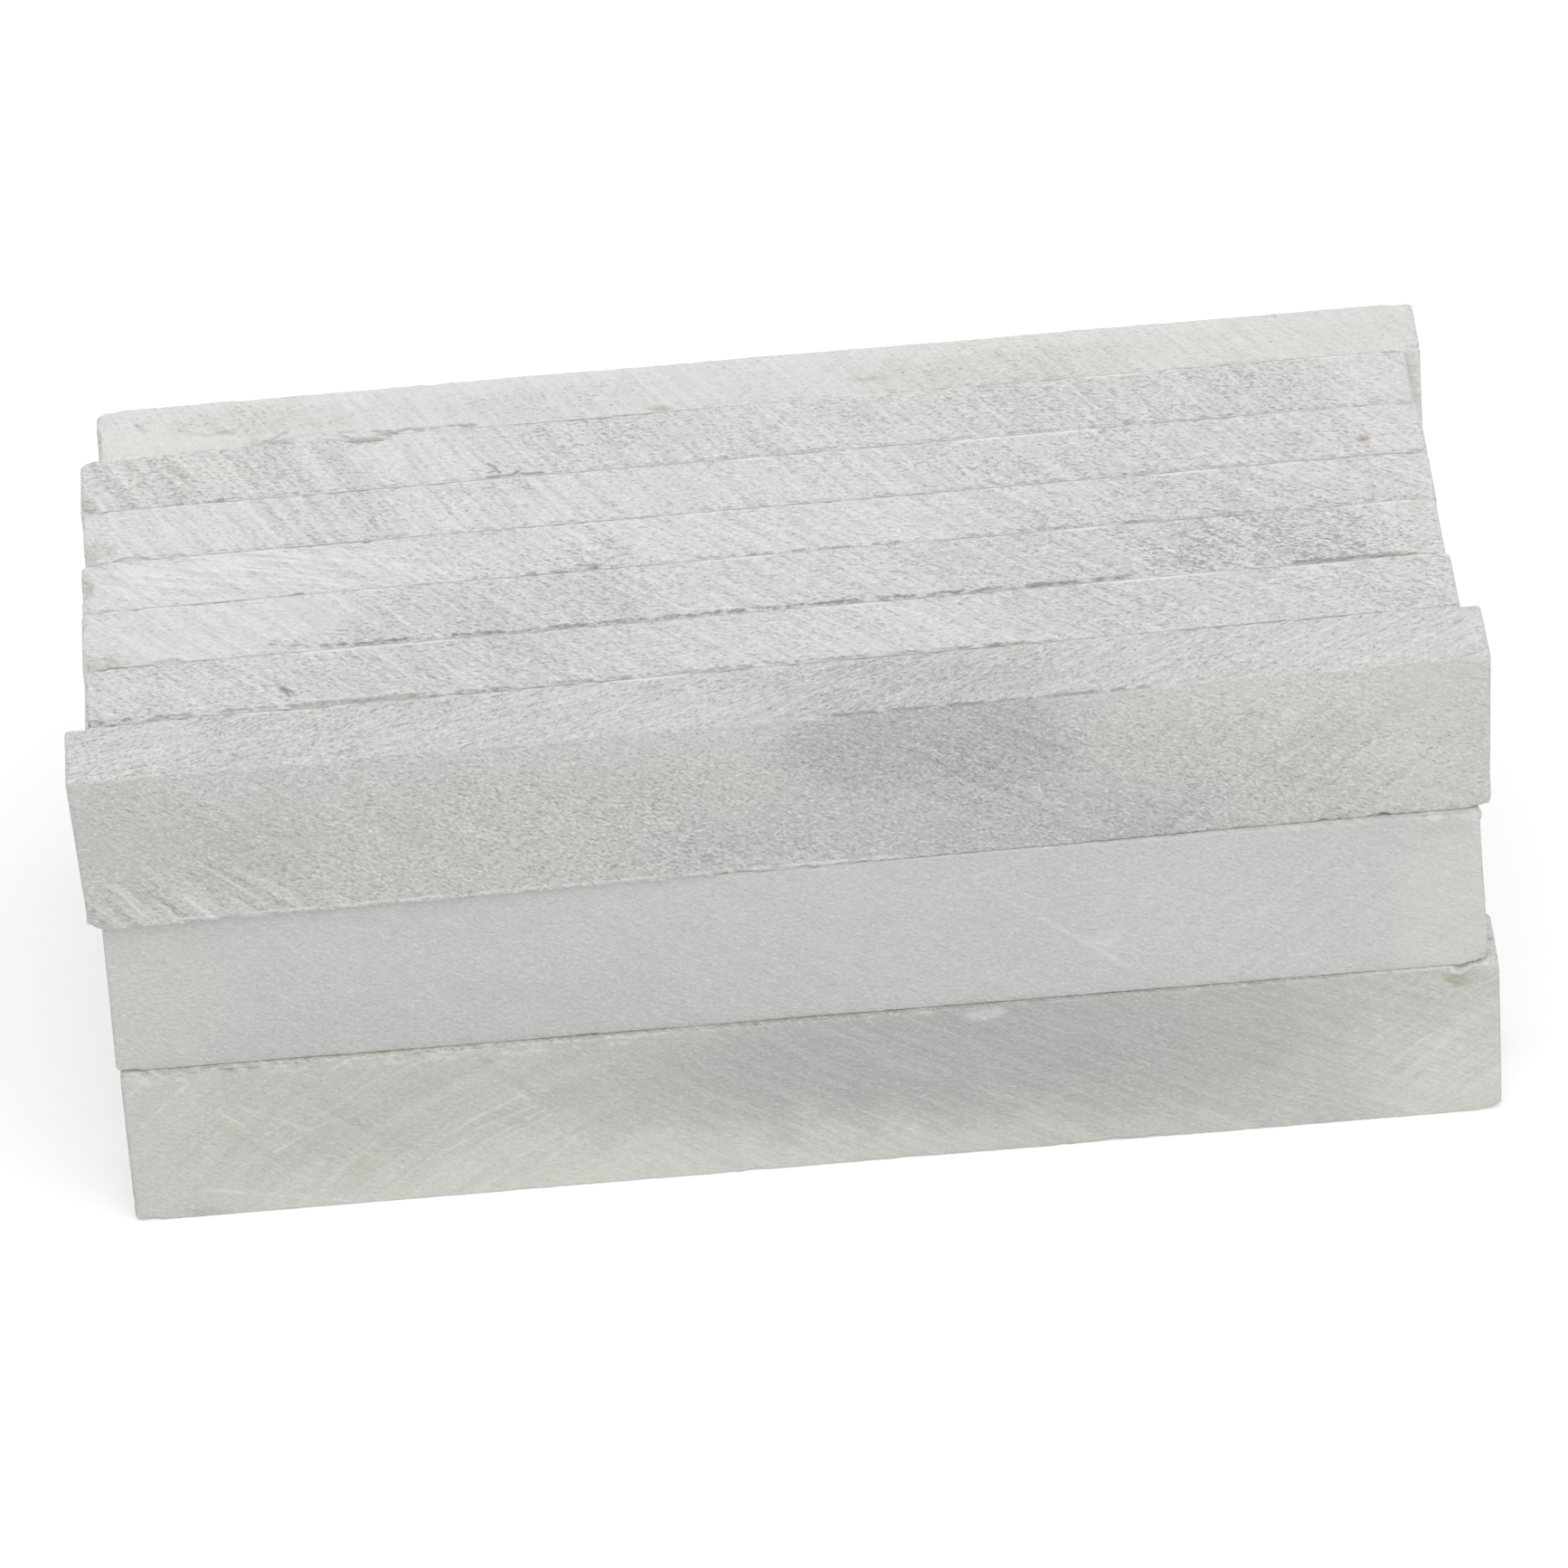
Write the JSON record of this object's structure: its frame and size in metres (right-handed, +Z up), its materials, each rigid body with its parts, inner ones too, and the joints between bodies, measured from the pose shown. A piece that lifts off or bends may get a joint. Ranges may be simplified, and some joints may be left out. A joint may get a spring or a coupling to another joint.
{
  "type": "stone chalk stick block",
  "caption": "Block of loose sawn soapstone chalk sticks stacked in layers; each stick lifts off the one under it.",
  "frame": {"origin": "under the middle of the block, on the surface that it stands on", "axes": "+X along the sticks, +Y from the front row to the back row, +Z up"},
  "size_m": [0.0768, 0.0362, 0.03],
  "materials": {
    "pale_stone": "dry sawn pale grey soapstone, matt, with straight saw marks and open pits",
    "warm_stone": "dry sawn warm white soapstone, matt",
    "grey_stone": "dry sawn grey soapstone, matt, with curved grinding marks",
    "green_stone": "dry sawn greenish grey soapstone, matt, slightly translucent at its edges"
  },
  "bodies": {
    "bottom_stick_1": {"bottom_stick_1": "green_stone"},
    "bottom_stick_2": {"bottom_stick_2": "green_stone"},
    "bottom_stick_3": {"bottom_stick_3": "green_stone"},
    "bottom_stick_4": {"bottom_stick_4": "green_stone"},
    "bottom_stick_5": {"bottom_stick_5": "green_stone"},
    "bottom_stick_6": {"bottom_stick_6": "green_stone"},
    "bottom_stick_7": {"bottom_stick_7": "green_stone"},
    "middle_stick_1": {"middle_stick_1": "grey_stone"},
    "middle_stick_2": {"middle_stick_2": "grey_stone"},
    "middle_stick_3": {"middle_stick_3": "grey_stone"},
    "middle_stick_4": {"middle_stick_4": "grey_stone"},
    "middle_stick_5": {"middle_stick_5": "grey_stone"},
    "middle_stick_6": {"middle_stick_6": "grey_stone"},
    "middle_stick_7": {"middle_stick_7": "grey_stone"},
    "top_stick_1": {"top_stick_1": "grey_stone"},
    "top_stick_2": {"top_stick_2": "pale_stone"},
    "top_stick_3": {"top_stick_3": "pale_stone"},
    "top_stick_4": {"top_stick_4": "pale_stone"},
    "top_stick_5": {"top_stick_5": "pale_stone"},
    "top_stick_6": {"top_stick_6": "pale_stone"},
    "top_stick_7": {"top_stick_7": "warm_stone"}
  },
  "joints": [
    {"name": "bottom_stick_1_lift", "type": "slide", "parent": "bottom_stick_4", "child": "bottom_stick_1", "axis": [0, 0, 1], "range_m": [0, 0.035]},
    {"name": "bottom_stick_2_lift", "type": "slide", "parent": "bottom_stick_4", "child": "bottom_stick_2", "axis": [0, 0, 1], "range_m": [0, 0.035]},
    {"name": "bottom_stick_3_lift", "type": "slide", "parent": "bottom_stick_4", "child": "bottom_stick_3", "axis": [0, 0, 1], "range_m": [0, 0.035]},
    {"name": "bottom_stick_5_lift", "type": "slide", "parent": "bottom_stick_4", "child": "bottom_stick_5", "axis": [0, 0, 1], "range_m": [0, 0.035]},
    {"name": "bottom_stick_6_lift", "type": "slide", "parent": "bottom_stick_4", "child": "bottom_stick_6", "axis": [0, 0, 1], "range_m": [0, 0.035]},
    {"name": "bottom_stick_7_lift", "type": "slide", "parent": "bottom_stick_4", "child": "bottom_stick_7", "axis": [0, 0, 1], "range_m": [0, 0.035]},
    {"name": "middle_stick_1_lift", "type": "slide", "parent": "bottom_stick_1", "child": "middle_stick_1", "axis": [0, 0, 1], "range_m": [0, 0.025]},
    {"name": "middle_stick_2_lift", "type": "slide", "parent": "bottom_stick_2", "child": "middle_stick_2", "axis": [0, 0, 1], "range_m": [0, 0.025]},
    {"name": "middle_stick_3_lift", "type": "slide", "parent": "bottom_stick_3", "child": "middle_stick_3", "axis": [0, 0, 1], "range_m": [0, 0.025]},
    {"name": "middle_stick_4_lift", "type": "slide", "parent": "bottom_stick_4", "child": "middle_stick_4", "axis": [0, 0, 1], "range_m": [0, 0.025]},
    {"name": "middle_stick_5_lift", "type": "slide", "parent": "bottom_stick_5", "child": "middle_stick_5", "axis": [0, 0, 1], "range_m": [0, 0.025]},
    {"name": "middle_stick_6_lift", "type": "slide", "parent": "bottom_stick_6", "child": "middle_stick_6", "axis": [0, 0, 1], "range_m": [0, 0.025]},
    {"name": "middle_stick_7_lift", "type": "slide", "parent": "bottom_stick_7", "child": "middle_stick_7", "axis": [0, 0, 1], "range_m": [0, 0.025]},
    {"name": "top_stick_1_lift", "type": "slide", "parent": "middle_stick_1", "child": "top_stick_1", "axis": [0, 0, 1], "range_m": [0, 0.015]},
    {"name": "top_stick_2_lift", "type": "slide", "parent": "middle_stick_2", "child": "top_stick_2", "axis": [0, 0, 1], "range_m": [0, 0.015]},
    {"name": "top_stick_3_lift", "type": "slide", "parent": "middle_stick_3", "child": "top_stick_3", "axis": [0, 0, 1], "range_m": [0, 0.015]},
    {"name": "top_stick_4_lift", "type": "slide", "parent": "middle_stick_4", "child": "top_stick_4", "axis": [0, 0, 1], "range_m": [0, 0.015]},
    {"name": "top_stick_5_lift", "type": "slide", "parent": "middle_stick_5", "child": "top_stick_5", "axis": [0, 0, 1], "range_m": [0, 0.015]},
    {"name": "top_stick_6_lift", "type": "slide", "parent": "middle_stick_6", "child": "top_stick_6", "axis": [0, 0, 1], "range_m": [0, 0.015]},
    {"name": "top_stick_7_lift", "type": "slide", "parent": "middle_stick_7", "child": "top_stick_7", "axis": [0, 0, 1], "range_m": [0, 0.015]}
  ]
}
